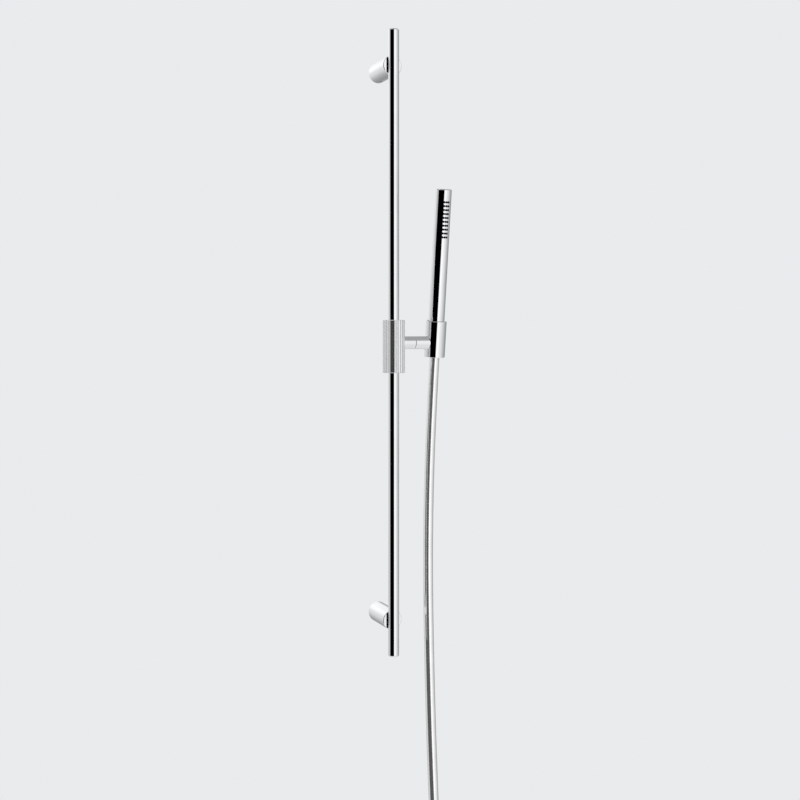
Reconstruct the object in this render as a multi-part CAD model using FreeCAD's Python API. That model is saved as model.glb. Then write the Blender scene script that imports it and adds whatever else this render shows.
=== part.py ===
import FreeCAD, Part
import math
import os

# Shower slide rail with a sliding, swivelling arm, a tilting holder, a stick handset and its hose.
# Millimetres. X runs along the wall, Y into the wall, Z up.
# The origin lies on the wall plane, midway between the two wall screws.

# Fits, as gaps on the radius
push_fit = 0.05
running_fit = 0.05
loose_fit = 0.3

# Rail
rail_diameter = 16.0
rail_wall = 1.5
rail_length = 930.0
rail_axis_from_wall = 61.0
rail_end_radius = 2.5
cap_thickness = 4.0
cap_spigot_length = 10.0

# Wall posts, each pushed over a boss that one screw holds on the wall
rail_past_post = 53.0
post_diameter = 29.5
post_face_behind_axis = 4.0
post_edge = 0.6
post_bore = 22.0
post_web = 8.0
boss_length = 24.0
boss_groove_depth = 1.0
wall_screw_hole = 6.4
countersink_diameter = 12.5
grub_diameter = 5.0
grub_hexagon = 2.5
grub_socket_depth = 2.0
grub_below_surface = 0.4

# Screws that pull the rail into the posts' saddles
rail_screw_diameter = 5.0
rail_screw_clearance = 0.25
rail_screw_head_diameter = 8.5
rail_screw_head_length = 5.0
rail_screw_hexagon = 4.0
rail_screw_socket_depth = 2.5
rail_screw_past_axis = 3.0
insert_length = 24.0

# Slider, a fluted grip round a split plastic guide
slider_diameter = 33.5
slider_length = 78.0
guide_wall = 3.0
slider_edge = 0.7
arm_above_slider_middle = 5.5
grip_land_count = 3
grip_land_width = 6.5
flutes_between_lands = 7
flute_depth = 0.5
end_ring_step = 2.0
end_ring_thickness = 4.0
end_ring_rail_gap = 0.4
guide_slit = 2.0
guide_end_gap = 0.1
grip_ring_section = 2.0
grip_ring_bevel = 0.6
grip_ring_spacing = 40.0
grip_ring_groove_gap = 0.1

# Arm, cut by the tilting joint's seam
arm_diameter = 19.0
arm_seat_depth = 0.6
arm_edge = 0.3
spigot_diameter = 12.0
spigot_bore_gap = 0.3
seam_from_rail_axis = 32.5
seam_washer_thickness = 0.6
seam_washer_inset = 0.25

# Pivot bolt and its disc springs
shoulder_diameter = 8.0
shoulder_into_stub = 3.0
pivot_thread_diameter = 6.0
pivot_thread_length = 10.0
pivot_hole_spare = 1.0
pivot_head_diameter = 10.0
pivot_head_length = 4.0
pivot_hexagon = 5.0
pivot_socket_depth = 2.5
pivot_head_gap = 0.5
holder_arm_web = 9.4
disc_spring_count = 4
disc_spring_thickness = 0.8
disc_spring_cone = 0.2
disc_spring_width = 1.1

# Holder, a sleeve tilted on the arm, with heights measured along its own axis from the pivot
holder_from_rail_axis = 68.5
holder_wall = 2.0
holder_top = 33.0
holder_bottom = -21.5
holder_lip = 4.0
holder_edge = 0.5
holder_fillet = 2.0
holder_tilt = 7.3
hose_slot_gap = 0.8
lip_hole_gap = 0.6
liner_below_rim = 1.0
liner_wall = 1.25
liner_handset_gap = 0.25

# Handset
handset_diameter = 24.0
handset_wall = 1.2
handset_top = 229.7
handset_cap_thickness = 2.0
handset_cap_edge = 1.4
handset_cap_spigot = 8.0
handset_above_nut = 0.2
nozzle_rows = 10
nozzle_columns = 3
nozzle_row_pitch = 5.75
nozzle_column_angle = 16.0
nozzle_first_row_below_top = 19.2
nozzle_tip_diameter = 3.0
nozzle_tip_proud = 0.25
nozzle_jet_diameter = 0.9
strip_thickness = 1.6
strip_half_angle = 30.0
strip_end_margin = 4.5
waterway_inset = 2.3
waterway_wall = 1.5
waterway_flange = 2.0
waterway_top_gap = 0.3

# Threaded inlet, check valve and the hose's conical nut
inlet_thread_diameter = 20.95
inlet_thread_length = 10.2
inlet_bore = 12.0
inlet_outlet_bore = 10.0
inlet_body_length = 14.0
check_valve_length = 12.0
check_valve_hole = 6.0
check_valve_below_top = 10.0
cone_nut_top = 12.0
cone_nut_straight = 11.0
cone_nut_bottom = -17.0
cone_nut_small_diameter = 17.4
washer_thickness = 2.0
washer_hole = 11.0
ferrule_flange_diameter = 18.4
ferrule_flange_thickness = 1.5
ferrule_barb_diameter = 9.0
ferrule_barb_length = 14.5
ferrule_hole = 7.0

# Hose, its hank and its end nut
hose_diameter = 15.0
hose_nut_gap = 0.15
hose_bend_start = -52.0
hose_bend_gap = 0.8
hose_first_corner = -109.0
end_nut_across_flats = 22.0
end_nut_length = 16.5
end_nut_wall = 3.0
end_nut_thread_bore = 18.65
end_nut_chamber = 19.2
end_nut_chamber_spare = 0.1
end_nut_edge = 0.8
tie_thickness = 1.2
tie_height = 10.0

# Route of the hanging hose below the holder, as shifts from the pivot: along the wall, towards it, up
hose_shifts = [
    (0.0, 23.4, -226.0),
    (0.0, 26.2, -351.0),
    (0.0, 21.2, -485.0),
    (0.0, 13.4, -607.0),
    (0.0, 2.2, -729.0),
    (0.0, -3.5, -837.0),
    (0.0, -4.5, -1003.0),
    (102.0, -10.0, -1003.0),
    (103.5, -14.0, -845.0),
    (102.0, -18.0, -728.0),
    (0.0, -28.0, -728.0),
    (0.0, -28.0, -830.0),
]
hose_tie_run = 6
hose_corner_share = 0.45

# Shared places
across = FreeCAD.Vector(1, 0, 0)
wallward = FreeCAD.Vector(0, 1, 0)
roomward = FreeCAD.Vector(0, -1, 0)
upward = FreeCAD.Vector(0, 0, 1)
downward = FreeCAD.Vector(0, 0, -1)
rail_middle = FreeCAD.Vector(0, -rail_axis_from_wall, 0)
rail_radius = rail_diameter / 2
rail_inner = rail_diameter - 2 * rail_wall
post_spacing = rail_length - 2 * rail_past_post
post_heights = {"upper": post_spacing / 2, "lower": -post_spacing / 2}
post_length = rail_axis_from_wall - post_face_behind_axis
post_bore_depth = rail_axis_from_wall - rail_radius - post_web
slider_bore = rail_diameter + 2 * guide_wall
end_ring_diameter = slider_bore + 2 * end_ring_step
slider_middle = -arm_above_slider_middle
slider_bottom = slider_middle - slider_length / 2
slider_top = slider_middle + slider_length / 2
slider_radius = slider_diameter / 2
arm_radius = arm_diameter / 2
arm_seat = math.sqrt(slider_radius ** 2 - arm_radius ** 2) - arm_seat_depth
holder_arm_start = seam_from_rail_axis + seam_washer_thickness
spring_seat = holder_arm_start + holder_arm_web
spring_length = disc_spring_count * (disc_spring_thickness + disc_spring_cone)
pivot_head_seat = spring_seat + spring_length
shoulder_end = seam_from_rail_axis - shoulder_into_stub
holder_bore = handset_diameter + 2 * liner_handset_gap + 2 * liner_wall
holder_diameter = holder_bore + 2 * holder_wall
holder_lip_top = holder_bottom + holder_lip
hose_slot = hose_diameter + 2 * hose_slot_gap
handset_bottom = cone_nut_top + handset_above_nut
handset_inner = handset_diameter - 2 * handset_wall
waterway_diameter = handset_inner - 2 * waterway_inset
handset_tube_top = handset_top - handset_cap_thickness
inlet_top = handset_bottom + inlet_body_length
inlet_end = handset_bottom - inlet_thread_length
ferrule_top = inlet_end - washer_thickness
ferrule_seat = ferrule_top - ferrule_flange_thickness
cone_length = cone_nut_top - cone_nut_straight - cone_nut_bottom
cone_slope = (handset_diameter - cone_nut_small_diameter) / 2 / cone_length


# Shaping helpers
def turned(profile, start, direction):
    # Solid of revolution from (radius, distance along the axis) corners
    corners = [FreeCAD.Vector(radius, 0, along) for radius, along in profile]
    section = Part.Face(Part.makePolygon(corners + corners[:1]))
    solid = section.revolve(FreeCAD.Vector(0, 0, 0), upward, 360)
    solid.Placement = FreeCAD.Placement(start, FreeCAD.Rotation(upward, direction))
    return solid


def bar(diameter, length, start, direction):
    return Part.makeCylinder(diameter / 2, length, start, direction)


def ring(outer, inner, length, start, direction):
    return bar(outer, length, start, direction).cut(bar(inner, length, start, direction))


def hexagon(across_flats, length, start, direction):
    corner_radius = across_flats / math.sqrt(3)
    corners = []
    for step in range(7):
        angle = math.radians(60 * step)
        corners.append(FreeCAD.Vector(corner_radius * math.cos(angle), corner_radius * math.sin(angle), 0))
    prism = Part.Face(Part.makePolygon(corners)).extrude(upward * length)
    prism.Placement = FreeCAD.Placement(start, FreeCAD.Rotation(upward, direction))
    return prism


def on_rail(height):
    return rail_middle + upward * height


def on_arm(distance):
    return rail_middle + across * distance


def on_holder(height):
    # Point on the holder's axis while it still stands upright
    return on_arm(holder_from_rail_axis) + upward * height


def tilted(shape):
    # The holder and all it carries lean into the room about the arm's axis
    leaning = shape.copy()
    leaning.rotate(rail_middle, across, holder_tilt)
    return leaning


def tilted_point(point):
    return FreeCAD.Rotation(across, holder_tilt).multVec(point - rail_middle) + rail_middle


def save(name, shape):
    os.makedirs("parts", exist_ok=True)
    shape.exportStep("parts/" + name + ".step")


# Wall posts
def wall_boss(height):
    hole = wall_screw_hole / 2
    outer = post_bore / 2 - push_fit
    middle = boss_length / 2
    groove = grub_diameter / 2 + loose_fit
    sink = countersink_diameter / 2
    return turned([
        (hole, 0),
        (outer, 0),
        (outer, middle - groove - boss_groove_depth),
        (outer - boss_groove_depth, middle - groove),
        (outer - boss_groove_depth, middle + groove),
        (outer, middle + groove + boss_groove_depth),
        (outer, boss_length),
        (sink, boss_length),
        (hole, boss_length - (sink - hole)),
    ], upward * height, roomward)


def post(height):
    outer = post_diameter / 2
    body = turned([
        (post_bore / 2, 0),
        (outer, 0),
        (outer, post_length - post_edge),
        (outer - post_edge, post_length),
        (0, post_length),
        (0, post_bore_depth),
        (post_bore / 2, post_bore_depth),
    ], upward * height, roomward)
    saddle = bar(rail_diameter + 2 * push_fit, 2 * post_diameter, on_rail(height - post_diameter), upward)
    screw_hole = bar(rail_screw_diameter + 2 * rail_screw_clearance, post_length, upward * height, roomward)
    grub_start = FreeCAD.Vector(0, -boss_length / 2, height)
    grub_hole = bar(grub_diameter + 2 * push_fit, post_diameter, grub_start, downward)
    return body.cut([saddle, screw_hole, grub_hole])


def grub_screw(height):
    inner = post_bore / 2 - push_fit - boss_groove_depth
    length = post_diameter / 2 - grub_below_surface - inner
    start = FreeCAD.Vector(0, -boss_length / 2, height - inner)
    socket_start = start + downward * (length - grub_socket_depth)
    socket = hexagon(grub_hexagon, grub_socket_depth, socket_start, downward)
    return bar(grub_diameter, length, start, downward).cut(socket)


# Rail
def rail_tube():
    length = rail_length - 2 * cap_thickness
    body = ring(rail_diameter, rail_inner, length, on_rail(-length / 2), upward)
    for height in post_heights.values():
        hole = rail_screw_diameter + 2 * rail_screw_clearance
        body = body.cut(bar(hole, rail_diameter, on_rail(height), wallward))
    return body


def rail_cap(direction):
    seat = rail_middle + direction * (rail_length / 2 - cap_thickness)
    disc = bar(rail_diameter, cap_thickness, seat, direction)
    near_top = cap_thickness - push_fit
    rim = [edge for edge in disc.Edges if (edge.CenterOfMass - seat).dot(direction) > near_top]
    spigot = bar(rail_inner - 2 * push_fit, cap_spigot_length, seat, direction * -1)
    return disc.makeFillet(rail_end_radius, rim).fuse(spigot).removeSplitter()


def rail_insert(height):
    start = on_rail(height - insert_length / 2)
    plug = bar(rail_inner - 2 * push_fit, insert_length, start, upward)
    hole = rail_screw_diameter + 2 * push_fit
    return plug.cut(bar(hole, rail_diameter, on_rail(height) + roomward * rail_radius, wallward))


def rail_screw(height):
    seat = upward * height + roomward * post_bore_depth
    length = rail_axis_from_wall + rail_screw_past_axis - post_bore_depth
    shank = bar(rail_screw_diameter, length, seat, roomward)
    head = bar(rail_screw_head_diameter, rail_screw_head_length, seat, wallward)
    socket_start = seat + wallward * (rail_screw_head_length - rail_screw_socket_depth)
    socket = hexagon(rail_screw_hexagon, rail_screw_socket_depth, socket_start, wallward)
    return shank.fuse(head).cut(socket).removeSplitter()


# Slider
def guide_sleeve():
    length = slider_length - 2 * end_ring_thickness - 2 * guide_end_gap
    start = on_rail(slider_middle - length / 2)
    bore = rail_diameter + 2 * running_fit
    body = ring(slider_bore - 2 * running_fit, bore, length, start, upward)
    groove_height = grip_ring_section + 2 * grip_ring_groove_gap
    groove_diameter = bore + 2 * grip_ring_section + 2 * grip_ring_groove_gap
    for height in grip_ring_heights():
        groove_start = on_rail(height - groove_height / 2)
        body = body.cut(bar(groove_diameter, groove_height, groove_start, upward))
    corner = start + FreeCAD.Vector(-guide_slit / 2, 0, 0)
    return body.cut(Part.makeBox(guide_slit, slider_bore, length, corner))


def grip_ring_heights():
    return [slider_middle - grip_ring_spacing / 2, slider_middle + grip_ring_spacing / 2]


def grip_ring(height):
    inner = rail_radius + running_fit
    outer = inner + grip_ring_section
    edge = grip_ring_section / 2
    bevelled = edge - grip_ring_bevel
    return turned([
        (inner, -bevelled),
        (inner + grip_ring_bevel, -edge),
        (outer - grip_ring_bevel, -edge),
        (outer, -bevelled),
        (outer, bevelled),
        (outer - grip_ring_bevel, edge),
        (inner + grip_ring_bevel, edge),
        (inner, bevelled),
    ], on_rail(height), upward)


def fluted_outline():
    # Plain lands, the first under the arm, with hollow flutes side by side between them
    half_land = math.asin(grip_land_width / 2 / slider_radius)
    land_pitch = 2 * math.pi / grip_land_count
    flute_pitch = (land_pitch - 2 * half_land) / flutes_between_lands
    edges = []

    def at(angle, radius):
        outward = FreeCAD.Vector(math.cos(angle), math.sin(angle), 0)
        return on_rail(slider_bottom) + outward * radius

    def add_arc(start, end, middle_radius):
        middle = at((start + end) / 2, middle_radius)
        edges.append(Part.Arc(at(start, slider_radius), middle, at(end, slider_radius)).toShape())

    for land in range(grip_land_count):
        land_end = land * land_pitch + half_land
        add_arc(land_end - 2 * half_land, land_end, slider_radius)
        for flute in range(flutes_between_lands):
            start = land_end + flute * flute_pitch
            add_arc(start, start + flute_pitch, slider_radius - flute_depth)
    return Part.Wire(edges)


def slider_body():
    grip = Part.Face(fluted_outline()).extrude(upward * slider_length)
    trimmed = slider_radius - slider_edge
    envelope = turned([
        (0, 0),
        (trimmed, 0),
        (slider_radius, slider_edge),
        (slider_radius, slider_length - slider_edge),
        (trimmed, slider_length),
        (0, slider_length),
    ], on_rail(slider_bottom), upward)
    bore = bar(slider_bore, slider_length, on_rail(slider_bottom), upward)
    recesses = [
        bar(end_ring_diameter, end_ring_thickness, on_rail(slider_bottom), upward),
        bar(end_ring_diameter, end_ring_thickness, on_rail(slider_top), downward),
    ]
    arm_pocket = bar(arm_diameter + 2 * push_fit, slider_diameter, on_arm(arm_seat), across)
    spigot_hole = bar(spigot_diameter + 2 * push_fit, slider_diameter, on_arm(0), across)
    return grip.common(envelope).cut([bore, arm_pocket, spigot_hole] + recesses)


def slider_end_ring(end, inward):
    inner = rail_diameter + 2 * end_ring_rail_gap
    return ring(end_ring_diameter - 2 * push_fit, inner, end_ring_thickness, on_rail(end), inward)


# Arm and tilting pivot
def arm_stub():
    spigot_start = slider_bore / 2 + spigot_bore_gap
    thread = pivot_thread_diameter / 2 + push_fit
    shoulder = shoulder_diameter / 2 + push_fit
    thread_floor = shoulder_end - pivot_thread_length - pivot_hole_spare
    return turned([
        (0, spigot_start),
        (spigot_diameter / 2, spigot_start),
        (spigot_diameter / 2, arm_seat),
        (arm_radius, arm_seat),
        (arm_radius, seam_from_rail_axis - arm_edge),
        (arm_radius - arm_edge, seam_from_rail_axis),
        (shoulder, seam_from_rail_axis),
        (shoulder, shoulder_end),
        (thread, shoulder_end),
        (thread, thread_floor),
        (0, thread_floor),
    ], rail_middle, across)


def seam_washer():
    outer = arm_diameter - 2 * seam_washer_inset
    inner = shoulder_diameter + 2 * loose_fit
    return ring(outer, inner, seam_washer_thickness, on_arm(seam_from_rail_axis), across)


def pivot_bolt():
    shoulder_length = pivot_head_seat - shoulder_end
    thread = bar(pivot_thread_diameter, pivot_thread_length, on_arm(shoulder_end), across * -1)
    shoulder = bar(shoulder_diameter, shoulder_length, on_arm(shoulder_end), across)
    head = bar(pivot_head_diameter, pivot_head_length, on_arm(pivot_head_seat), across)
    socket_start = on_arm(pivot_head_seat + pivot_head_length - pivot_socket_depth)
    socket = hexagon(pivot_hexagon, pivot_socket_depth, socket_start, across)
    return shoulder.fuse([thread, head]).cut(socket).removeSplitter()


def disc_springs():
    inner = shoulder_diameter / 2 + loose_fit
    outer = inner + disc_spring_width
    height = disc_spring_thickness + disc_spring_cone
    discs = []
    for step in range(disc_spring_count):
        base = spring_seat + step * height
        rise = [disc_spring_cone, 0] if step % 2 else [0, disc_spring_cone]
        discs.append(turned([
            (inner, base + rise[0]),
            (outer, base + rise[1]),
            (outer, base + rise[1] + disc_spring_thickness),
            (inner, base + rise[0] + disc_spring_thickness),
        ], rail_middle, across))
    return Part.makeCompound(discs)


# Holder
def slot_cut():
    corner = on_holder(holder_bottom) + FreeCAD.Vector(0, -hose_slot / 2, 0)
    return Part.makeBox(holder_diameter, hose_slot, holder_top - holder_bottom, corner)


def holder_body():
    outer = holder_diameter / 2
    sleeve = turned([
        (0, holder_bottom),
        (outer - holder_edge, holder_bottom),
        (outer, holder_bottom + holder_edge),
        (outer, holder_top - holder_edge),
        (outer - holder_edge, holder_top),
        (0, holder_top),
    ], on_holder(0), upward)
    arm = bar(arm_diameter, holder_from_rail_axis - holder_arm_start, on_arm(holder_arm_start), across)
    casting = sleeve.fuse(arm)
    casting = casting.makeFillet(holder_fillet, junction_edges(casting))
    end_rim = [edge for edge in casting.Edges if edge.BoundBox.XMax < holder_arm_start + push_fit]
    casting = casting.makeChamfer(arm_edge, end_rim)
    pocket_length = holder_from_rail_axis - spring_seat
    cuts = [
        bar(holder_bore, holder_top - holder_lip_top, on_holder(holder_lip_top), upward),
        bar(hose_diameter + 2 * lip_hole_gap, holder_lip, on_holder(holder_bottom), upward),
        bar(pivot_head_diameter + 2 * pivot_head_gap, pocket_length, on_arm(spring_seat), across),
        bar(shoulder_diameter + 2 * running_fit, holder_arm_web, on_arm(holder_arm_start), across),
        slot_cut(),
    ]
    return tilted(casting.cut(cuts))


def junction_edges(casting):
    # Edges where the arm's round surface meets the sleeve's
    found = []
    for edge in casting.Edges:
        middle = edge.valueAt((edge.FirstParameter + edge.LastParameter) / 2) - on_holder(0)
        off_sleeve = abs(math.hypot(middle.x, middle.y) - holder_diameter / 2)
        off_arm = abs(math.hypot(middle.y, middle.z) - arm_radius)
        if max(off_sleeve, off_arm) < push_fit:
            found.append(edge)
    return found


def cone_radius(height):
    # The conical nut's outside below its straight top
    start = cone_nut_top - cone_nut_straight
    return handset_diameter / 2 - cone_slope * (start - height)


def holder_liner():
    outer = holder_bore / 2 - push_fit
    inner = handset_diameter / 2 + liner_handset_gap
    cone_start = cone_nut_top - cone_nut_straight + (liner_handset_gap - push_fit) / cone_slope
    body = turned([
        (cone_radius(holder_lip_top) + push_fit, holder_lip_top),
        (outer, holder_lip_top),
        (outer, holder_top - liner_below_rim),
        (inner, holder_top - liner_below_rim),
        (inner, cone_start),
    ], on_holder(0), upward)
    return tilted(body.cut(slot_cut()))


# Handset
def nozzle_places():
    places = []
    for row in range(nozzle_rows):
        height = handset_top - nozzle_first_row_below_top - row * nozzle_row_pitch
        for column in range(nozzle_columns):
            angle = math.radians((column - (nozzle_columns - 1) / 2) * nozzle_column_angle)
            places.append((height, FreeCAD.Vector(math.sin(angle), -math.cos(angle), 0)))
    return places


def handset_body():
    length = handset_tube_top - handset_bottom
    body = ring(handset_diameter, handset_inner, length, on_holder(handset_bottom), upward)
    hole = nozzle_tip_diameter + 2 * push_fit
    holes = [bar(hole, handset_diameter, on_holder(height), outward) for height, outward in nozzle_places()]
    return tilted(body.cut(holes))


def handset_cap():
    outer = handset_diameter / 2
    spigot = handset_inner / 2 - push_fit
    return tilted(turned([
        (0, handset_tube_top - handset_cap_spigot),
        (spigot, handset_tube_top - handset_cap_spigot),
        (spigot, handset_tube_top),
        (outer, handset_tube_top),
        (outer, handset_top - handset_cap_edge),
        (outer - handset_cap_edge, handset_top),
        (0, handset_top),
    ], on_holder(0), upward))


def nozzle_strip():
    outer = handset_inner / 2 - push_fit
    inner = outer - strip_thickness
    top = handset_top - nozzle_first_row_below_top + strip_end_margin
    bottom = top - (nozzle_rows - 1) * nozzle_row_pitch - 2 * strip_end_margin
    corners = [FreeCAD.Vector(0, -radius, height) for radius, height in
               ((inner, bottom), (outer, bottom), (outer, top), (inner, top), (inner, bottom))]
    section = Part.Face(Part.makePolygon(corners))
    section.rotate(FreeCAD.Vector(0, 0, 0), upward, -strip_half_angle)
    strip = section.revolve(FreeCAD.Vector(0, 0, 0), upward, 2 * strip_half_angle)
    strip.translate(on_holder(0))
    tips = []
    jets = []
    for height, outward in nozzle_places():
        root = on_holder(height) + outward * (inner + strip_thickness / 2)
        reach = handset_diameter / 2 + nozzle_tip_proud - inner - strip_thickness / 2
        tips.append(bar(nozzle_tip_diameter, reach, root, outward))
        jets.append(bar(nozzle_jet_diameter, handset_diameter, on_holder(height), outward))
    return tilted(strip.fuse(tips).cut(jets))


def waterway():
    outer = waterway_diameter / 2
    inner = outer - waterway_wall
    flange = handset_inner / 2 - push_fit
    top = handset_tube_top - handset_cap_spigot - waterway_top_gap
    body = turned([
        (inner, inlet_top),
        (flange, inlet_top),
        (flange, inlet_top + waterway_flange),
        (outer, inlet_top + waterway_flange),
        (outer, top),
        (inner, top),
    ], on_holder(0), upward)
    window_bottom = handset_top - nozzle_first_row_below_top - (nozzle_rows - 1) * nozzle_row_pitch
    window_height = (nozzle_rows - 1) * nozzle_row_pitch
    corner = on_holder(window_bottom) + FreeCAD.Vector(-inner / 2, -waterway_diameter, 0)
    return tilted(body.cut(Part.makeBox(inner, waterway_diameter, window_height, corner)))


def handset_inlet():
    body_radius = handset_inner / 2 - push_fit
    thread = inlet_thread_diameter / 2
    valve_stop = inlet_top - check_valve_below_top
    return tilted(turned([
        (inlet_bore / 2, inlet_end),
        (thread, inlet_end),
        (thread, handset_bottom),
        (body_radius, handset_bottom),
        (body_radius, inlet_top),
        (inlet_outlet_bore / 2, inlet_top),
        (inlet_outlet_bore / 2, valve_stop),
        (inlet_bore / 2, valve_stop),
    ], on_holder(0), upward))


def check_valve():
    stop = inlet_top - check_valve_below_top
    outer = inlet_bore - 2 * push_fit
    return tilted(ring(outer, check_valve_hole, check_valve_length, on_holder(stop), downward))


def hose_washer(start, direction):
    return ring(ferrule_flange_diameter, washer_hole, washer_thickness, start, direction)


def cone_nut():
    straight_end = cone_nut_top - cone_nut_straight
    thread = inlet_thread_diameter / 2 + push_fit
    chamber = ferrule_flange_diameter / 2 + push_fit
    hose_hole = hose_diameter / 2 + hose_nut_gap
    return tilted(turned([
        (thread, inlet_end),
        (thread, cone_nut_top),
        (handset_diameter / 2, cone_nut_top),
        (handset_diameter / 2, straight_end),
        (cone_nut_small_diameter / 2, cone_nut_bottom),
        (hose_hole, cone_nut_bottom),
        (hose_hole, ferrule_seat),
        (chamber, ferrule_seat),
        (chamber, inlet_end),
    ], on_holder(0), upward))


# Hose ends
def ferrule(seat, into_hose):
    # Flanged tail pushed into the hose, with the flange beyond the hose's end face
    flange = ring(ferrule_flange_diameter, ferrule_hole, ferrule_flange_thickness, seat, into_hose * -1)
    barb = ring(ferrule_barb_diameter, ferrule_hole, ferrule_barb_length, seat, into_hose)
    return flange.fuse(barb).removeSplitter()


def ferrule_bore(seat, into_hose):
    return bar(ferrule_barb_diameter + 2 * push_fit, ferrule_barb_length + loose_fit, seat, into_hose)


def hose_upper():
    length = ferrule_seat - hose_bend_start
    body = bar(hose_diameter, length, on_holder(ferrule_seat), downward)
    return tilted(body.cut(ferrule_bore(on_holder(ferrule_seat), downward)))


# Hanging hose: straight runs joined by tangent arcs
def hose_route():
    pivot = on_holder(0)
    leaning = [tilted_point(on_holder(ferrule_seat)), tilted_point(on_holder(hose_first_corner))]
    return leaning + [pivot + FreeCAD.Vector(*shift) for shift in hose_shifts]


def corner_arc(route, index):
    # Start, middle, end and radius of the arc that rounds one corner of the route
    before = route[index - 1] - route[index]
    after = route[index + 1] - route[index]
    tangent = hose_corner_share * min(before.Length, after.Length)
    before.normalize()
    after.normalize()
    half_turn = (math.pi - before.getAngle(after)) / 2
    radius = tangent / math.tan(half_turn)
    bisector = before + after
    bisector.normalize()
    centre = route[index] + bisector * (radius / math.cos(half_turn))
    middle = centre - bisector * radius
    return route[index] + before * tangent, middle, route[index] + after * tangent, radius


def hose_stretch(route, start, end, corners):
    edges = []
    reached = start
    for index in corners:
        entry, middle, leave, radius = corner_arc(route, index)
        edges.append(Part.makeLine(reached, entry))
        edges.append(Part.Arc(entry, middle, leave).toShape())
        reached = leave
        print("hose corner", index, "radius", round(radius, 1))
    edges.append(Part.makeLine(reached, end))
    path = Part.Wire(edges)
    heading = edges[0].tangentAt(edges[0].FirstParameter)
    section = Part.Wire(Part.makeCircle(hose_diameter / 2, start, heading))
    solid = path.makePipeShell([section], True, False)
    print("hose stretch length", round(path.Length, 1))
    print("volume over section times length", round(solid.Volume / (section_area() * path.Length), 4))
    return solid


def section_area():
    return math.pi * hose_diameter ** 2 / 4


def hose_tie(centre, reach):
    # Strap round two neighbouring runs of the hank
    inner = hose_diameter / 2 + loose_fit
    outer = inner + tie_thickness
    base = centre + downward * (tie_height / 2)

    def stadium(radius):
        near = bar(2 * radius, tie_height, base, upward)
        far = bar(2 * radius, tie_height, base + reach, upward)
        corner = base + FreeCAD.Vector(-radius, reach.y, 0)
        return near.fuse([far, Part.makeBox(2 * radius, -reach.y, tie_height, corner)])

    return stadium(outer).cut(stadium(inner)).removeSplitter()


def end_nut(seat):
    # Union nut that turns freely behind the lower ferrule's flange
    top = seat + upward * end_nut_wall
    body = hexagon(end_nut_across_flats, end_nut_length, top, downward)
    corner_radius = end_nut_across_flats / math.sqrt(3)
    flat_radius = end_nut_across_flats / 2
    rounding = turned([
        (0, 0),
        (flat_radius - end_nut_edge, 0),
        (corner_radius, corner_radius - flat_radius + end_nut_edge),
        (corner_radius, end_nut_length - corner_radius + flat_radius - end_nut_edge),
        (flat_radius - end_nut_edge, end_nut_length),
        (0, end_nut_length),
    ], top, downward)
    hose_hole = bar(hose_diameter + 2 * loose_fit, end_nut_wall, top, downward)
    thread = bar(end_nut_thread_bore, end_nut_length - end_nut_wall, seat, downward)
    chamber_length = ferrule_flange_thickness + washer_thickness + end_nut_chamber_spare
    chamber = bar(end_nut_chamber, chamber_length, seat, downward)
    return body.common(rounding).cut([hose_hole, thread, chamber])


# Build and save every piece
for name, height in post_heights.items():
    save("wall_boss_" + name, wall_boss(height))
    save("post_" + name, post(height))
    save("rail_insert_" + name, rail_insert(height))
save("post_grub_screws", Part.makeCompound([grub_screw(height) for height in post_heights.values()]))
save("rail_screws", Part.makeCompound([rail_screw(height) for height in post_heights.values()]))
save("rail_tube", rail_tube())
save("rail_cap_top", rail_cap(upward))
save("rail_cap_bottom", rail_cap(downward))

save("guide_sleeve", guide_sleeve())
save("grip_rings", Part.makeCompound([grip_ring(height) for height in grip_ring_heights()]))
save("slider_body", slider_body())
save("slider_end_ring_top", slider_end_ring(slider_top, downward))
save("slider_end_ring_bottom", slider_end_ring(slider_bottom, upward))
save("arm_stub", arm_stub())
save("seam_washer", seam_washer())
save("pivot_bolt", pivot_bolt())
save("disc_springs", disc_springs())

save("holder_body", holder_body())
save("holder_liner", holder_liner())
save("handset_body", handset_body())
save("handset_cap", handset_cap())
save("nozzle_strip", nozzle_strip())
save("waterway", waterway())
save("handset_inlet", handset_inlet())
save("check_valve", check_valve())
save("filter_washer", tilted(hose_washer(on_holder(ferrule_top), upward)))
save("cone_nut", cone_nut())
save("hose_ferrule_upper", tilted(ferrule(on_holder(ferrule_seat), downward)))
save("hose_upper", hose_upper())

route = hose_route()
tie_place = (route[hose_tie_run] + route[hose_tie_run + 1]) / 2
run_start = tilted_point(on_holder(hose_bend_start - hose_bend_gap))
hose_end = route[-1]
hank = hose_stretch(route, tie_place, hose_end, range(hose_tie_run + 1, len(route) - 1))
save("hose_run", hose_stretch(route, run_start, tie_place, range(1, hose_tie_run + 1)))
save("hose_hank", hank.cut(ferrule_bore(hose_end, upward)))
save("hose_tie", hose_tie(tie_place, FreeCAD.Vector(0, hose_end.y - tie_place.y, 0)))
save("hose_ferrule_lower", ferrule(hose_end, upward))
save("hose_end_washer", hose_washer(hose_end + downward * ferrule_flange_thickness, downward))
save("hose_end_nut", end_nut(hose_end))
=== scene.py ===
import math

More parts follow.
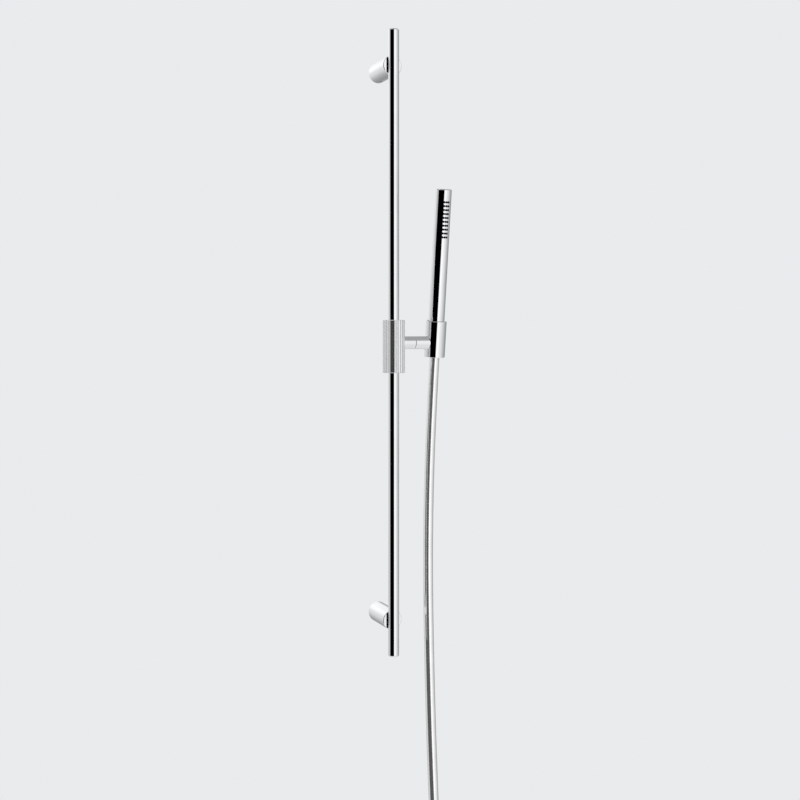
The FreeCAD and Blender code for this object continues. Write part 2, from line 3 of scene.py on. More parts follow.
import bmesh
import bpy
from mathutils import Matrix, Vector


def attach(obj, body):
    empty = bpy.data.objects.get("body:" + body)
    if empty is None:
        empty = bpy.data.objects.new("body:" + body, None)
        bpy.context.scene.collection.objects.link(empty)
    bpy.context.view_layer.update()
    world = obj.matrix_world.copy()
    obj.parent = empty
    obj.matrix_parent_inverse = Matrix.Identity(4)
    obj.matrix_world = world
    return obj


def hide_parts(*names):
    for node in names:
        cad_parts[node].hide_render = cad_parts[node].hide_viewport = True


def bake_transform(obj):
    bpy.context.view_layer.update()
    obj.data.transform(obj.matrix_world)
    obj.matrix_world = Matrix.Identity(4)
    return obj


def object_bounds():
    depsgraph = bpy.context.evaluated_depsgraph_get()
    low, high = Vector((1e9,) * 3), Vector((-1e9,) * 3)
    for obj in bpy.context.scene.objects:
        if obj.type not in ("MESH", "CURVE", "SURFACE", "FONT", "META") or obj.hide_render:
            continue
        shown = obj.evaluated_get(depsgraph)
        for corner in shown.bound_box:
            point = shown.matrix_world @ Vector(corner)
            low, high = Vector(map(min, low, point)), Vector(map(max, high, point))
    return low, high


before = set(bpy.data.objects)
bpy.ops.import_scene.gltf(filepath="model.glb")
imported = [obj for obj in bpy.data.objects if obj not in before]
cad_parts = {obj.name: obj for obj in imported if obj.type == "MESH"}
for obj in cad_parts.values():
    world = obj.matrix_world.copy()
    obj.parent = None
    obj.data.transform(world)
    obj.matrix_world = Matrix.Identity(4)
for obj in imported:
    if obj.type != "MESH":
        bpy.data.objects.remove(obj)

# Shower slide rail: CAD frame and its finishes, a hanging hose, rubber and thread details, a plain studio
cadLow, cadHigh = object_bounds()
print("frame loaded,", len(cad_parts), "nodes")


def linear(hexText):
    channels = [int(hexText[i:i + 2], 16) / 255 for i in (1, 3, 5)]
    return tuple(c / 12.92 if c <= 0.04045 else ((c + 0.055) / 1.055) ** 2.4 for c in channels) + (1.0,)


def addNode(tree, kind, settings=None, inputs=None):
    # settings go on the node, inputs are either values or sockets to link from
    node = tree.nodes.new(kind)
    for name, value in (settings or {}).items():
        setattr(node, name, value)
    for name, value in (inputs or {}).items():
        if isinstance(value, bpy.types.NodeSocket):
            tree.links.new(value, node.inputs[name])
        else:
            node.inputs[name].default_value = value
    return node


def maths(tree, operation, *values):
    node = addNode(tree, "ShaderNodeMath", {"operation": operation}, dict(enumerate(values)))
    return node.outputs["Value"]


def vectorMaths(tree, operation, *values, **named):
    inputs = dict(enumerate(values), **named)
    node = addNode(tree, "ShaderNodeVectorMath", {"operation": operation}, inputs)
    return node.outputs["Value" if operation == "LENGTH" else "Vector"]


def remap(tree, value, low, high, toLow=0.0, toHigh=1.0, kind="LINEAR"):
    node = addNode(tree, "ShaderNodeMapRange", {"interpolation_type": kind}, {
        "Value": value, "From Min": low, "From Max": high, "To Min": toLow, "To Max": toHigh})
    return node.outputs["Result"]


def mixColours(tree, factor, first, second):
    return addNode(tree, "ShaderNodeMix", {"data_type": "RGBA"}, {
        "Factor": factor, "A": first, "B": second}).outputs["Result"]


def colourRamp(tree, factor, stops):
    node = addNode(tree, "ShaderNodeValToRGB", inputs={"Fac": factor})
    elements = node.color_ramp.elements
    while len(elements) < len(stops):
        elements.new(0.5)
    for element, (position, colour) in zip(elements, stops):
        element.position = position
        element.color = colour
    return node.outputs["Color"]


# Camera, level, at the left of the rail, with the frame shifted down as in the photograph
cameraLook = {
    "lens": 50.0,              # mm
    "sensor": 36.0,            # mm
    "aroundRail": 24.0,        # degrees to the left of straight on
    "fromRail": 1.648,         # along the view
    "rightOfRail": 0.0094,
    "height": 0.0143,
    "shiftDown": 0.0837,       # share of the frame
    "railAxis": (0.0, -0.061),
}


def placeCamera(look):
    data = bpy.data.cameras.new("camera")
    camera = bpy.data.objects.new("camera", data)
    bpy.context.scene.collection.objects.link(camera)
    angle = math.radians(look["aroundRail"])
    forward = Vector((math.sin(angle), math.cos(angle), 0))
    right = Vector((math.cos(angle), -math.sin(angle), 0))
    rail = Vector((look["railAxis"][0], look["railAxis"][1], look["height"]))
    camera.location = rail - forward * look["fromRail"] + right * look["rightOfRail"]
    camera.rotation_mode = "QUATERNION"
    camera.rotation_quaternion = forward.to_track_quat("-Z", "Y")
    data.lens = look["lens"]
    data.sensor_width = look["sensor"]
    data.shift_y = -look["shiftDown"]
    bpy.context.scene.camera = camera


placeCamera(cameraLook)
print("camera placed")


# Materials, with patterns sized in metres
def newMaterial(name):
    material = bpy.data.materials.new(name)
    material.use_nodes = True
    tree = material.node_tree
    tree.nodes.clear()
    return material, tree, addNode(tree, "ShaderNodeTexCoord").outputs["Object"]


def finishMaterial(tree, shaderInputs):
    shader = addNode(tree, "ShaderNodeBsdfPrincipled", inputs=shaderInputs)
    addNode(tree, "ShaderNodeOutputMaterial", inputs={"Surface": shader.outputs["BSDF"]})


def noise(tree, place, size, detail, rough=0.5):
    return addNode(tree, "ShaderNodeTexNoise", inputs={
        "Vector": place, "Scale": 1 / size, "Detail": detail, "Roughness": rough}).outputs["Fac"]


def drawnOut(tree, place, share):
    # a pattern laid on this runs up the part
    node = addNode(tree, "ShaderNodeMapping", inputs={"Vector": place, "Scale": (1.0, 1.0, share)})
    return node.outputs["Vector"]


def raised(tree, height, strength, depth):
    return addNode(tree, "ShaderNodeBump", inputs={
        "Height": height, "Strength": strength, "Distance": depth}).outputs["Normal"]


noiseSpan = (0.3, 0.7)   # most of a noise's values lie between these


def glossAround(tree, pattern, rough, spread):
    return remap(tree, pattern, *noiseSpan, rough * (1 - spread), rough * (1 + spread))


chromeLook = {
    "pale": "#f6f7f8",
    "deep": "#eef0f1",
    "smooth": 0.012,
    "hazed": 0.03,
    "hazeSize": 0.018,
    "hazeDrawnOut": 0.35,      # wiping runs along the rail
    "hazeSpan": (0.35, 0.85),
    "dropSize": 0.009,
    "dropSpan": (0.30, 0.12),  # from a drop's rim to its middle
    "dropBlur": 0.18,
    "waveSize": 0.006,         # slow waves left by the polishing wheel
    "waveDepth": 0.00002,
    "waveStrength": 0.05,
}


def platedChrome(name, look):
    # Bright chrome on polished brass: a mirror with a cool tint, faintly hazed by wiping and drying drops
    material, tree, place = newMaterial(name)
    wiped = drawnOut(tree, place, look["hazeDrawnOut"])
    haze = noise(tree, wiped, look["hazeSize"], detail=5.0, rough=0.6)
    drops = addNode(tree, "ShaderNodeTexVoronoi", {"feature": "SMOOTH_F1"}, {
        "Vector": place, "Scale": 1 / look["dropSize"], "Smoothness": 0.3})
    drop = remap(tree, drops.outputs["Distance"], *look["dropSpan"], kind="SMOOTHSTEP")
    blur = maths(tree, "MULTIPLY_ADD", drop, look["dropBlur"], haze)
    rough = remap(tree, blur, *look["hazeSpan"], look["smooth"], look["hazed"])
    tint = colourRamp(tree, haze, list(zip(noiseSpan, (linear(look["deep"]), linear(look["pale"])))))
    wave = noise(tree, place, look["waveSize"], detail=2.0)
    finishMaterial(tree, {
        "Base Color": tint, "Metallic": 1.0, "Roughness": rough,
        "Normal": raised(tree, wave, look["waveStrength"], look["waveDepth"])})
    return material


flutedLook = {
    "axis": (0.0, -0.061, 0.0),   # the slider is round about the rail
    "flutesFrom": 0.01620,        # radius of the flutes' floors, where the painted shade is darkest
    "polishedFrom": 0.01664,      # the plain lands and the crests lie outside this radius
    "polishedFull": 0.01670,
    "satinRough": 0.38,
    "satinSpread": 0.15,
    "landRough": 0.10,
    "satinMetal": 0.38,           # the satin flutes scatter light as well as mirror it
    "landMetal": 0.96,
    # the tint runs from painted shade on the flute floors (deep) up to the crests and lands (pale)
    "pale": "#ffffff",
    "deep": "#aeb1b4",
    "grainSize": 0.0016,
    "grainDrawnOut": 0.08,
    "uneven": 0.2,                # how far the grain moves the tint
}


def satinFlutedChrome(name, look):
    # Satin chrome with polished lands: the flutes scatter a soft grey, with painted shade darkening their
    # floors, and the lands between them mirror the room
    material, tree, place = newMaterial(name)
    fromRail = vectorMaths(tree, "SUBTRACT", place, look["axis"])
    radius = vectorMaths(tree, "LENGTH", vectorMaths(tree, "MULTIPLY", fromRail, (1.0, 1.0, 0.0)))
    land = remap(tree, radius, look["polishedFrom"], look["polishedFull"])
    # painted shade: the tint darkens from the crests down to the flute floors
    valleyShadeFade = remap(tree, radius, look["flutesFrom"], look["polishedFrom"])
    brushed = drawnOut(tree, place, look["grainDrawnOut"])
    grain = noise(tree, brushed, look["grainSize"], detail=3.0, rough=0.6)
    uneven = maths(tree, "MULTIPLY_ADD", grain, look["uneven"], -look["uneven"] / 2)
    tint = mixColours(tree, maths(tree, "ADD", valleyShadeFade, uneven), linear(look["deep"]), linear(look["pale"]))
    satin = glossAround(tree, grain, look["satinRough"], look["satinSpread"])
    rough = addNode(tree, "ShaderNodeMix", {"data_type": "FLOAT"}, {
        "Factor": land, "A": satin, "B": look["landRough"]})
    metal = remap(tree, land, 0.0, 1.0, look["satinMetal"], look["landMetal"])
    finishMaterial(tree, {"Base Color": tint, "Metallic": metal, "Roughness": rough.outputs["Result"]})
    return material


plasticLook = {
    "cloudSize": 0.012,
    "glossSpread": 0.15,
    "grainStrength": 0.25,
    "grainDepth": 0.1,         # share of the grain's size
}


def mouldedPlastic(name, pale, deep, rough, grain):
    # Injection moulded part: an even satin skin with a fine spark-eroded grain and slight flow clouding
    material, tree, place = newMaterial(name)
    cloud = noise(tree, place, plasticLook["cloudSize"], detail=3.0)
    speck = noise(tree, place, grain, detail=2.0)
    finishMaterial(tree, {
        "Base Color": mixColours(tree, cloud, linear(deep), linear(pale)),
        "Roughness": glossAround(tree, speck, rough, plasticLook["glossSpread"]),
        "Normal": raised(tree, speck, plasticLook["grainStrength"], grain * plasticLook["grainDepth"])})
    return material


turnedLook = {
    "patinaSize": 0.008,
    "glossSpread": 0.3,
    "markStrength": 0.2,
    "markDepth": 0.05,         # share of the marks' size
}


def turnedMetal(name, pale, deep, rough, mark):
    # Lathe-turned metal left bare: fine tool marks that break up the gloss, over a slight patina
    material, tree, place = newMaterial(name)
    toolMarks = noise(tree, place, mark, detail=4.0)
    patina = noise(tree, place, turnedLook["patinaSize"], detail=3.0)
    finishMaterial(tree, {
        "Base Color": mixColours(tree, patina, linear(deep), linear(pale)), "Metallic": 1.0,
        "Roughness": glossAround(tree, toolMarks, rough, turnedLook["glossSpread"]),
        "Normal": raised(tree, toolMarks, turnedLook["markStrength"], mark * turnedLook["markDepth"])})
    return material


rubberLook = {
    "glossSpread": 0.15,
    "specular": 0.3,
    "sheenRough": 0.5,
}


def castRubber(name, pale, deep, rough, bloom, sheen):
    # Moulded rubber: deep black, soft sheen, a dusty bloom in patches
    material, tree, place = newMaterial(name)
    dust = noise(tree, place, bloom, detail=4.0)
    finishMaterial(tree, {
        "Base Color": mixColours(tree, dust, linear(deep), linear(pale)),
        "Roughness": glossAround(tree, dust, rough, rubberLook["glossSpread"]),
        "Specular IOR Level": rubberLook["specular"],
        "Sheen Weight": sheen, "Sheen Roughness": rubberLook["sheenRough"]})
    return material


silverLook = {
    "dull": (0.1, "#f0f1f2"),  # where on the mottle, and the tint there
    "bright": (0.65, "#fdfdfd"),
    "turn": 0.0032,            # the film is wound at this pitch
    "seamWidth": 0.12,         # share of a turn
    "seamShade": 0.35,
    "seamStrength": 0.12,
    "seamDepth": 0.00005,
    "cloudSize": 0.02,
    "rough": (0.11, 0.15),
    "metal": 0.9,
    "skin": 0.5,
    "skinRough": 0.05,
}


def silverHosePvc(name, look):
    # Smooth shower hose: clear PVC skin over silver film wound in a spiral, so it gleams softer than chrome
    material, tree, place = newMaterial(name)
    wrap = addNode(tree, "ShaderNodeUVMap", {"uv_map": "wrap"})
    split = addNode(tree, "ShaderNodeSeparateXYZ", inputs={"Vector": wrap.outputs["UV"]})
    turns = maths(tree, "MULTIPLY_ADD", split.outputs["Y"], 1 / look["turn"], split.outputs["X"])
    seam = remap(tree, maths(tree, "PINGPONG", turns, 0.5), 0.0, look["seamWidth"], 1.0, 0.0, "SMOOTHSTEP")
    cloud = noise(tree, place, look["cloudSize"], detail=4.0)
    mottle = maths(tree, "MULTIPLY_ADD", seam, -look["seamShade"], cloud)
    stops = [(position, linear(colour)) for position, colour in (look["dull"], look["bright"])]
    finishMaterial(tree, {
        "Base Color": colourRamp(tree, mottle, stops), "Metallic": look["metal"],
        "Roughness": remap(tree, cloud, *noiseSpan, *look["rough"]),
        "Normal": raised(tree, seam, look["seamStrength"], look["seamDepth"]),
        "Coat Weight": look["skin"], "Coat Roughness": look["skinRough"]})
    return material


finishes = {
    "chrome_plate": platedChrome("chromePlatedPolishedBrass", chromeLook),
    "fluted_chrome": satinFlutedChrome("satinChromePlatedFlutes", flutedLook),
    "brass": turnedMetal("turnedBareBrass", "#d9b871", "#bd9a52", rough=0.24, mark=0.0007),
    "steel": turnedMetal("turnedStainlessSteel", "#c9ccd0", "#a9adb2", rough=0.3, mark=0.0006),
    "guide_plastic": mouldedPlastic("acetalMouldedGuide", "#9a9c9e", "#898b8e", rough=0.38, grain=0.0005),
    "liner_plastic": mouldedPlastic("nylonMouldedLiner", "#dcdedf", "#c9cccd", rough=0.42, grain=0.0005),
    "inner_plastic": mouldedPlastic("absMouldedInner", "#dedfe0", "#cfd1d3", rough=0.45, grain=0.0006),
    "seal_rubber": castRubber("epdmMouldedSeal", "#2b2c2d", "#17181a", rough=0.6, bloom=0.004, sheen=0.08),
    "black_silicone": castRubber(
        "siliconeMouldedNozzles", "#070708", "#030303", rough=0.62, bloom=0.003, sheen=0.0),
    "silver_hose": silverHosePvc("pvcSkinOverSilverFilm", silverLook),
    "tie_plastic": mouldedPlastic("nylonMouldedTie", "#ecedec", "#dcdedd", rough=0.5, grain=0.0004),
}
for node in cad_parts.values():
    for slot in node.material_slots:
        slot.material = finishes[slot.material.name]
print("finishes on the CAD nodes")


def makePiece(name, mesh, slotName):
    piece = bpy.data.objects.new(name, mesh)
    bpy.context.scene.collection.objects.link(piece)
    mesh.materials.clear()
    mesh.materials.append(finishes[slotName])
    return piece


# Small repeated details, each grown by a node tree of its own
def newTree(name, sizes):
    tree = bpy.data.node_groups.new(name, "GeometryNodeTree")
    tree.interface.new_socket("Geometry", in_out="INPUT", socket_type="NodeSocketGeometry")
    for label, value in sizes.items():
        kind = {int: "NodeSocketInt", float: "NodeSocketFloat", tuple: "NodeSocketVector"}[type(value)]
        tree.interface.new_socket(label, in_out="INPUT", socket_type=kind).default_value = value
    tree.interface.new_socket("Geometry", in_out="OUTPUT", socket_type="NodeSocketGeometry")
    return tree, addNode(tree, "NodeGroupInput").outputs


def closeTree(tree, geometry, slotName, smooth):
    real = addNode(tree, "GeometryNodeRealizeInstances", inputs={"Geometry": geometry})
    shaded = addNode(tree, "GeometryNodeSetShadeSmooth", inputs={
        "Geometry": real.outputs["Geometry"], "Shade Smooth": smooth})
    dressed = addNode(tree, "GeometryNodeSetMaterial", inputs={
        "Geometry": shaded.outputs["Geometry"], "Material": finishes[slotName]})
    addNode(tree, "NodeGroupOutput", inputs={"Geometry": dressed.outputs["Geometry"]})


def growPiece(name, tree, sizes, body, start=None):
    piece = bpy.data.objects.new(name, start or bpy.data.meshes.new(name))
    bpy.context.scene.collection.objects.link(piece)
    modifier = piece.modifiers.new("grow", "NODES")
    modifier.node_group = tree
    for item in tree.interface.items_tree:
        if item.in_out == "INPUT" and item.name in sizes:
            modifier[item.identifier] = sizes[item.name]
    bpy.context.view_layer.update()
    grown = bpy.data.meshes.new_from_object(piece.evaluated_get(bpy.context.evaluated_depsgraph_get()))
    piece.modifiers.remove(modifier)
    piece.data = grown
    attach(piece, body)
    print(name, "grown,", len(grown.polygons), "faces")


def ringCurve(tree, sides, radius):
    return addNode(tree, "GeometryNodeCurvePrimitiveCircle", inputs={
        "Resolution": sides, "Radius": radius}).outputs["Curve"]


# Soft lips round the thirty silicone jets
nozzleLook = {
    "Rows": 10,
    "Columns": 3,
    "Row Pitch": 0.00575,
    "Column Angle": math.radians(16.0),
    "Face Radius": 0.01225,
    "First Row": 0.2105,       # above the pivot, along the handset
    "Lip Radius": 0.00130,
    "Lip Round": 0.00040,
    "Lip Sides": 20,
    "Round Sides": 8,
    "Pivot": (0.0685, -0.061, 0.0),
    "Lean": math.radians(7.3),
}


def nozzleTree(sizes, slotName):
    tree, size = newTree("nozzleLips", sizes)
    index = addNode(tree, "GeometryNodeInputIndex").outputs["Index"]
    row = maths(tree, "FLOOR", maths(tree, "DIVIDE", index, size["Columns"]))
    column = maths(tree, "MODULO", index, size["Columns"])
    middle = maths(tree, "MULTIPLY_ADD", size["Columns"], 0.5, -0.5)
    angle = maths(tree, "MULTIPLY", maths(tree, "SUBTRACT", column, middle), size["Column Angle"])
    towards = maths(tree, "MULTIPLY", maths(tree, "COSINE", angle), -1.0)
    outward = addNode(tree, "ShaderNodeCombineXYZ", inputs={
        "X": maths(tree, "SINE", angle), "Y": towards}).outputs["Vector"]
    onFace = vectorMaths(tree, "SCALE", outward, Scale=size["Face Radius"])
    drop = maths(tree, "MULTIPLY", row, size["Row Pitch"])
    height = maths(tree, "SUBTRACT", size["First Row"], drop)
    lift = addNode(tree, "ShaderNodeCombineXYZ", inputs={"Z": height})
    dots = addNode(tree, "GeometryNodePoints", inputs={
        "Count": maths(tree, "MULTIPLY", size["Rows"], size["Columns"]),
        "Position": vectorMaths(tree, "ADD", onFace, lift.outputs["Vector"])})
    facing = addNode(tree, "FunctionNodeAlignRotationToVector", {"axis": "Z"}, {"Vector": outward})
    lip = addNode(tree, "GeometryNodeCurveToMesh", inputs={
        "Curve": ringCurve(tree, size["Lip Sides"], size["Lip Radius"]),
        "Profile Curve": ringCurve(tree, size["Round Sides"], size["Lip Round"])})
    lips = addNode(tree, "GeometryNodeInstanceOnPoints", inputs={
        "Points": dots.outputs[0], "Instance": lip.outputs["Mesh"],
        "Rotation": facing.outputs["Rotation"]})
    lean = addNode(tree, "ShaderNodeCombineXYZ", inputs={"X": size["Lean"]})
    placed = addNode(tree, "GeometryNodeTransform", inputs={
        "Geometry": lips.outputs["Instances"], "Translation": size["Pivot"],
        "Rotation": lean.outputs["Vector"]})
    closeTree(tree, placed.outputs["Geometry"], slotName, True)
    return tree


growPiece("nozzleLips", nozzleTree(nozzleLook, "black_silicone"), nozzleLook, "holder")

# Half-inch pipe thread inside the hose's end nut
threadLook = {
    "Pitch": 0.001814,
    "Turns": 5.0,
    "Steps A Turn": 48,
    "Bore Radius": 0.0093,
    "Ridge Round": 0.00055,
    "Ridge Sides": 6,
    "Foot": (0.0685, -0.089, -0.8432),
}


def threadTree(sizes, slotName):
    tree, size = newTree("nutThread", sizes)
    spiral = addNode(tree, "GeometryNodeCurveSpiral", inputs={
        "Resolution": size["Steps A Turn"], "Rotations": size["Turns"],
        "Start Radius": size["Bore Radius"], "End Radius": size["Bore Radius"],
        "Height": maths(tree, "MULTIPLY", size["Pitch"], size["Turns"])})
    ridge = ringCurve(tree, size["Ridge Sides"], size["Ridge Round"])
    thread = addNode(tree, "GeometryNodeCurveToMesh", inputs={
        "Curve": spiral.outputs["Curve"], "Profile Curve": ridge, "Fill Caps": True})
    placed = addNode(tree, "GeometryNodeTransform", inputs={
        "Geometry": thread.outputs["Mesh"], "Translation": size["Foot"]})
    closeTree(tree, placed.outputs["Geometry"], slotName, True)
    return tree


growPiece("endNutThread", threadTree(threadLook, "chrome_plate"), threadLook, "hose_nut")

# Ribs along the strap that ties the hank, and the buckle that closes it
tieLook = {
    "Rib Count": 52,
    "Rib Size": (0.0008, 0.0007, 0.0082),   # along the strap, out of it, up
    "runs": [(0.0685, -0.06165), (0.0685, -0.089)],
    "outside": 0.009,
    "height": -0.783,
    "stepsRoundRun": 12,
    "buckle": (0.0044, 0.0090, 0.0126),
    "buckleOut": 0.3,                       # share of its thickness that its middle stands off the strap
    "tail": (0.0013, 0.0145, 0.0084),
    "tailOut": 0.75,
    "edge": 0.0009,
    "edgeMost": 0.4,                        # share of the thickness
    "edgeSteps": 3,
}


def tieTree(sizes, slotName):
    named = {label: value for label, value in sizes.items() if label[0].isupper()}
    tree, size = newTree("tieRibs", named)
    path = addNode(tree, "GeometryNodeMeshToCurve", inputs={"Mesh": size["Geometry"]})
    steps = addNode(tree, "GeometryNodeResampleCurve", inputs={
        "Curve": path.outputs["Curve"], "Count": size["Rib Count"]})
    along = addNode(tree, "GeometryNodeInputTangent")
    turn = addNode(tree, "FunctionNodeAlignRotationToVector", {"axis": "X", "pivot_axis": "Z"}, {
        "Vector": along.outputs["Tangent"]})
    rib = addNode(tree, "GeometryNodeMeshCube", inputs={"Size": size["Rib Size"]})
    ribs = addNode(tree, "GeometryNodeInstanceOnPoints", inputs={
        "Points": steps.outputs["Curve"], "Instance": rib.outputs["Mesh"],
        "Rotation": turn.outputs["Rotation"]})
    closeTree(tree, ribs.outputs["Instances"], slotName, False)
    return tree


def tieOutline(look):
    # closed line round both runs of hose, on the strap's outside
    points = []
    for (x, y), first in zip(look["runs"], (0, 180)):
        for step in range(look["stepsRoundRun"] + 1):
            angle = math.radians(first + 180 / look["stepsRoundRun"] * step)
            outX, outY = look["outside"] * math.cos(angle), look["outside"] * math.sin(angle)
            points.append((x + outX, y + outY, look["height"]))
    mesh = bpy.data.meshes.new("tieOutline")
    mesh.from_pydata(points, [(i, (i + 1) % len(points)) for i in range(len(points))], [])
    return mesh


def tieBuckleMesh(look):
    middle = (look["runs"][0][1] + look["runs"][1][1]) / 2
    side = look["runs"][0][0] - look["outside"]
    shape = bmesh.new()
    for size, out, y in ((look["buckle"], look["buckleOut"], middle),
                         (look["tail"], look["tailOut"], middle - look["buckle"][1])):
        block = bmesh.ops.create_cube(shape, size=1.0)["verts"]
        bmesh.ops.scale(shape, vec=size, verts=block)
        bmesh.ops.translate(shape, vec=(side - out * size[0], y, look["height"]), verts=block)
        edges = list({edge for vertex in block for edge in vertex.link_edges})
        bmesh.ops.bevel(shape, geom=edges, offset=min(look["edge"], size[0] * look["edgeMost"]),
                        segments=look["edgeSteps"], profile=0.5, affect="EDGES")
    mesh = bpy.data.meshes.new("tieBuckle")
    shape.to_mesh(mesh)
    shape.free()
    return mesh


growPiece(
    "tieRibs", tieTree(tieLook, "tie_plastic"), tieLook, "slider", tieOutline(tieLook))
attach(makePiece("tieBuckle", tieBuckleMesh(tieLook), "tie_plastic"), "slider")

# Hose: hangs from the leaning holder, and its spare length is folded in a tied hank at the bottom
hoseLook = {
    "diameter": 0.015,
    "length": 1.5,
    "pivot": (0.0685, -0.061, 0.0),       # the holder's axis crosses the arm's here
    "lean": 7.3,                          # degrees
    "alongLean": (-0.0015, -0.109),       # seat in the nut, then the first corner
    "leavesHolder": -0.0215,
    "shifts": [                           # from the pivot: along the wall, towards it, up
        (0.0, 0.0234, -0.226), (0.0, 0.0262, -0.351), (0.0, 0.0212, -0.485),
        (0.0, 0.0134, -0.607), (0.0, 0.0022, -0.729), (0.0, -0.0035, -0.837),
        (0.0, -0.0045, -1.003), (0.102, -0.010, -1.003), (0.1035, -0.014, -0.845),
        (0.102, -0.018, -0.728), (0.0, -0.028, -0.728), (0.0, -0.028, -0.830)],
    "sidesRound": 40,
    "stepsPerPoint": 24,
    "bendsFrom": -0.25,                   # a height below the pivot
}


def leaningPoint(look, height):
    lean = math.radians(look["lean"])
    return Vector(look["pivot"]) + Vector((0, -height * math.sin(lean), height * math.cos(lean)))


def smoothLine(points, steps):
    curve = bpy.data.curves.new("line", "CURVE")
    curve.dimensions = "3D"
    spline = curve.splines.new("NURBS")
    spline.points.add(len(points) - 1)
    for knot, point in zip(spline.points, points):
        knot.co = (*point, 1.0)
    spline.order_u = 3
    spline.use_endpoint_u = True
    spline.resolution_u = steps
    carrier = bpy.data.objects.new("line", curve)
    bpy.context.scene.collection.objects.link(carrier)
    bpy.context.view_layer.update()
    mesh = bpy.data.meshes.new_from_object(carrier.evaluated_get(bpy.context.evaluated_depsgraph_get()))
    line = [vertex.co.copy() for vertex in mesh.vertices]
    bpy.data.meshes.remove(mesh)
    bpy.data.objects.remove(carrier)
    bpy.data.curves.remove(curve)
    return line


def tubeMesh(name, line, radius, sides):
    # rings carried along the line without twist, with a wrap map in turns and metres
    tangents = []
    for i in range(len(line)):
        tangents.append((line[min(i + 1, len(line) - 1)] - line[max(i - 1, 0)]).normalized())
    across = tangents[0].orthogonal().normalized()
    vertices, heights, travelled = [], [], 0.0
    for i, (point, tangent) in enumerate(zip(line, tangents)):
        if i:
            travelled += (point - line[i - 1]).length
            across = (across - tangent * across.dot(tangent)).normalized()
        upright = tangent.cross(across)
        heights.append(travelled)
        for j in range(sides):
            angle = 2 * math.pi * j / sides
            reach = across * (radius * math.cos(angle)) + upright * (radius * math.sin(angle))
            vertices.append(point + reach)
    faces, corners = [], []
    for i in range(len(line) - 1):
        for j in range(sides):
            k = (j + 1) % sides
            faces.append((i * sides + j, i * sides + k, (i + 1) * sides + k, (i + 1) * sides + j))
            corners += [(j / sides, heights[i]), ((j + 1) / sides, heights[i]),
                        ((j + 1) / sides, heights[i + 1]), (j / sides, heights[i + 1])]
    last = (len(line) - 1) * sides
    faces.append(tuple(reversed(range(sides))))
    faces.append(tuple(range(last, last + sides)))
    corners += [(0.0, heights[0])] * sides + [(0.0, heights[-1])] * sides
    mesh = bpy.data.meshes.new(name)
    mesh.from_pydata(vertices, [], faces)
    wrap = mesh.uv_layers.new(name="wrap")
    for loop, corner in zip(wrap.data, corners):
        loop.uv = corner
    mesh.polygons.foreach_set("use_smooth", [len(face.vertices) == 4 for face in mesh.polygons])
    mesh.update()
    return mesh


hosePoints = [leaningPoint(hoseLook, height) for height in hoseLook["alongLean"]]
hosePoints += [Vector(hoseLook["pivot"]) + Vector(shift) for shift in hoseLook["shifts"]]
hoseLine = smoothLine(hosePoints, hoseLook["stepsPerPoint"])
hoseTube = tubeMesh("hose", hoseLine, hoseLook["diameter"] / 2, hoseLook["sidesRound"])
hose = makePiece("hose", hoseTube, "silver_hose")
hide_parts("hose_upper", "hose_run", "hose_hank")
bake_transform(hose)
print("hose made,", len(hoseLine), "rings")


# Studio: a pale floor well below the hank, a pale surround, a dark flag left of the camera, a softbox right
studioLook = {
    "backdrop": "#e9ebed",
    "paint": "#f1f2f3",
    "floorDrop": 0.42,          # below the hank at rest, so the slider's lowest pose clears it
    "floorRadius": 1.25,
    "floorSides": 96,
    "floorFades": (0.35, 0.95),  # shares of its radius
    "surround": 0.62,           # even light on what isn't shiny
    "towardsCamera": -114.0,    # compass degrees in plan
    # degrees to the right of the camera as the rail sees it, then brightness above, level and below
    "panels": [
        (-178, 0.98, 0.48, 0.24), (-150, 1.06, 0.74, 0.42), (-130, 1.16, 0.80, 0.62),
        (-112, 0.85, 0.62, 0.60), (-82, 0.64, 0.64, 0.64), (-78, 0.0, 0.0, 0.0), (9, 0.0, 0.0, 0.0),
        (12, 1.10, 1.10, 1.10), (34, 1.08, 1.08, 1.08), (48, 0.93, 0.93, 0.90), (62, 0.86, 0.86, 0.84),
        (90, 0.60, 0.60, 0.62), (130, 0.32, 0.32, 0.34), (174, 0.28, 0.28, 0.30)],
    "ceiling": 0.40,
    "underfoot": 0.80,
    # upward share of a direction over which ceiling, above, level, below and underfoot meet
    "joins": [(0.42, 0.62), (-0.05, 0.40), (-0.45, 0.0), (-0.62, -0.46)],
    "lamps": {                  # place, width and watts
        "softLamp": ((1.4, -2.0, 1.8), 1.4, 34.0),
        "fillLamp": ((-1.7, -1.5, 0.6), 1.4, 40.0)},
    "lampsAimAt": (0.05, -0.06, -0.2),
}


def grey(bright):
    return (bright, bright, bright, 1.0)


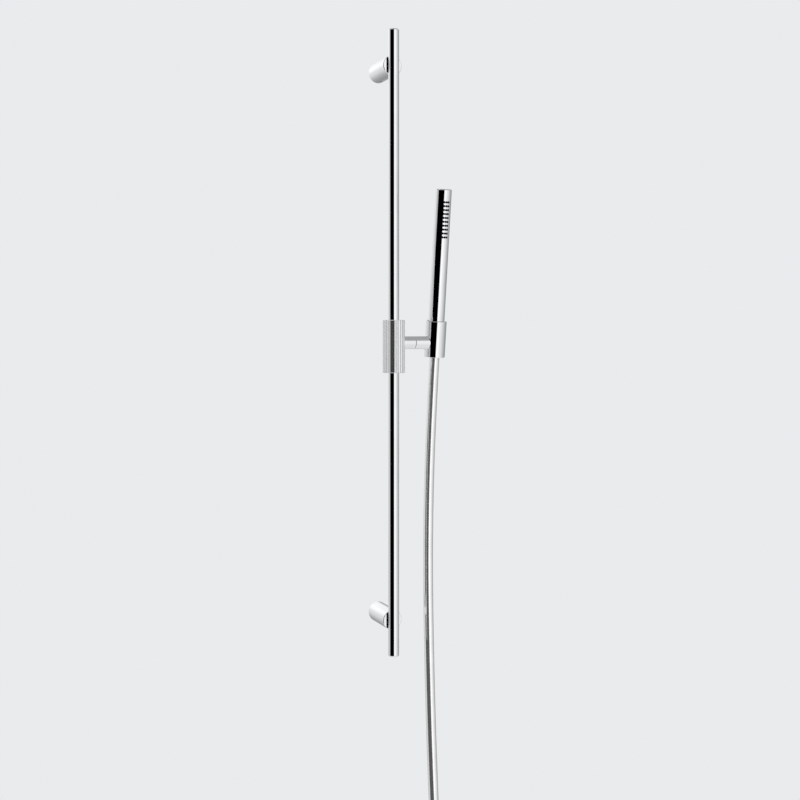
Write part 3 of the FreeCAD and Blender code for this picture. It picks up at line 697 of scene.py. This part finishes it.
def buildWorld(look):
    world = bpy.data.worlds.new("studio")
    bpy.context.scene.world = world
    world.use_nodes = True
    world.cycles.sampling_method = "NONE"   # the polished parts then see the panels alone
    tree = world.node_tree
    tree.nodes.clear()
    way = addNode(tree, "ShaderNodeTexCoord").outputs["Generated"]
    parts = addNode(tree, "ShaderNodeSeparateXYZ", inputs={"Vector": way}).outputs
    share = remap(tree, maths(tree, "ARCTAN2", parts["Y"], parts["X"]), -math.pi, math.pi)
    bands = []
    for level in (1, 2, 3):
        stops = sorted(((look["towardsCamera"] + panel[0] + 180) % 360 / 360, grey(panel[level]))
                       for panel in look["panels"])
        bands.append(colourRamp(tree, share, stops))
    room = grey(look["ceiling"])
    for band, (low, high) in zip(bands + [grey(look["underfoot"])], look["joins"]):
        join = remap(tree, parts["Z"], low, high, kind="SMOOTHSTEP")
        room = mixColours(tree, join, band, room)
    reflected = addNode(tree, "ShaderNodeBackground", inputs={"Color": room})
    soft = addNode(tree, "ShaderNodeBackground", inputs={"Strength": look["surround"]})
    backdrop = addNode(tree, "ShaderNodeBackground", inputs={"Color": linear(look["backdrop"])})
    ray = addNode(tree, "ShaderNodeLightPath")
    lit = addNode(tree, "ShaderNodeMixShader", inputs={
        "Fac": ray.outputs["Is Glossy Ray"], 1: soft.outputs["Background"],
        2: reflected.outputs["Background"]})
    seen = addNode(tree, "ShaderNodeMixShader", inputs={
        "Fac": ray.outputs["Is Camera Ray"], 1: lit.outputs["Shader"],
        2: backdrop.outputs["Background"]})
    addNode(tree, "ShaderNodeOutputWorld", inputs={"Surface": seen.outputs["Shader"]})


def buildFloor(look):
    height = cadLow.z - look["floorDrop"]
    turns = [2 * math.pi * i / look["floorSides"] for i in range(look["floorSides"])]
    rim = [(look["floorRadius"] * math.cos(a), look["floorRadius"] * math.sin(a), height) for a in turns]
    mesh = bpy.data.meshes.new("floor")
    mesh.from_pydata(rim, [], [tuple(range(look["floorSides"]))])
    floor = bpy.data.objects.new("floor", mesh)
    bpy.context.scene.collection.objects.link(floor)
    # Matt pale paint that fades out at the floor's rim
    material, tree, place = newMaterial("paintedStudioFloor")
    reach = vectorMaths(tree, "LENGTH", vectorMaths(tree, "MULTIPLY", place, (1.0, 1.0, 0.0)))
    fadeFrom, fadeFull = [look["floorRadius"] * part for part in look["floorFades"]]
    fade = remap(tree, reach, fadeFrom, fadeFull, kind="SMOOTHSTEP")
    paint = addNode(tree, "ShaderNodeBsdfDiffuse", inputs={"Color": linear(look["paint"])})
    clear = addNode(tree, "ShaderNodeBsdfTransparent")
    mixed = addNode(tree, "ShaderNodeMixShader", inputs={
        "Fac": fade, 1: paint.outputs["BSDF"], 2: clear.outputs["BSDF"]})
    addNode(tree, "ShaderNodeOutputMaterial", inputs={"Surface": mixed.outputs["Shader"]})
    mesh.materials.append(material)


def hangLamp(name, place, width, watts, aim):
    data = bpy.data.lights.new(name, "AREA")
    data.shape = "DISK"
    data.size = width
    data.energy = watts
    lamp = bpy.data.objects.new(name, data)
    bpy.context.scene.collection.objects.link(lamp)
    lamp.location = place
    lamp.rotation_mode = "QUATERNION"
    lamp.rotation_quaternion = (Vector(aim) - Vector(place)).to_track_quat("-Z", "Y")
    lamp.visible_glossy = False   # the panels above stand for what polished metal sees


buildWorld(studioLook)
buildFloor(studioLook)
for lampName, (lampPlace, lampWidth, lampWatts) in studioLook["lamps"].items():
    hangLamp(lampName, lampPlace, lampWidth, lampWatts, studioLook["lampsAimAt"])
bpy.context.scene.view_settings.view_transform = "Standard"
print("studio built")
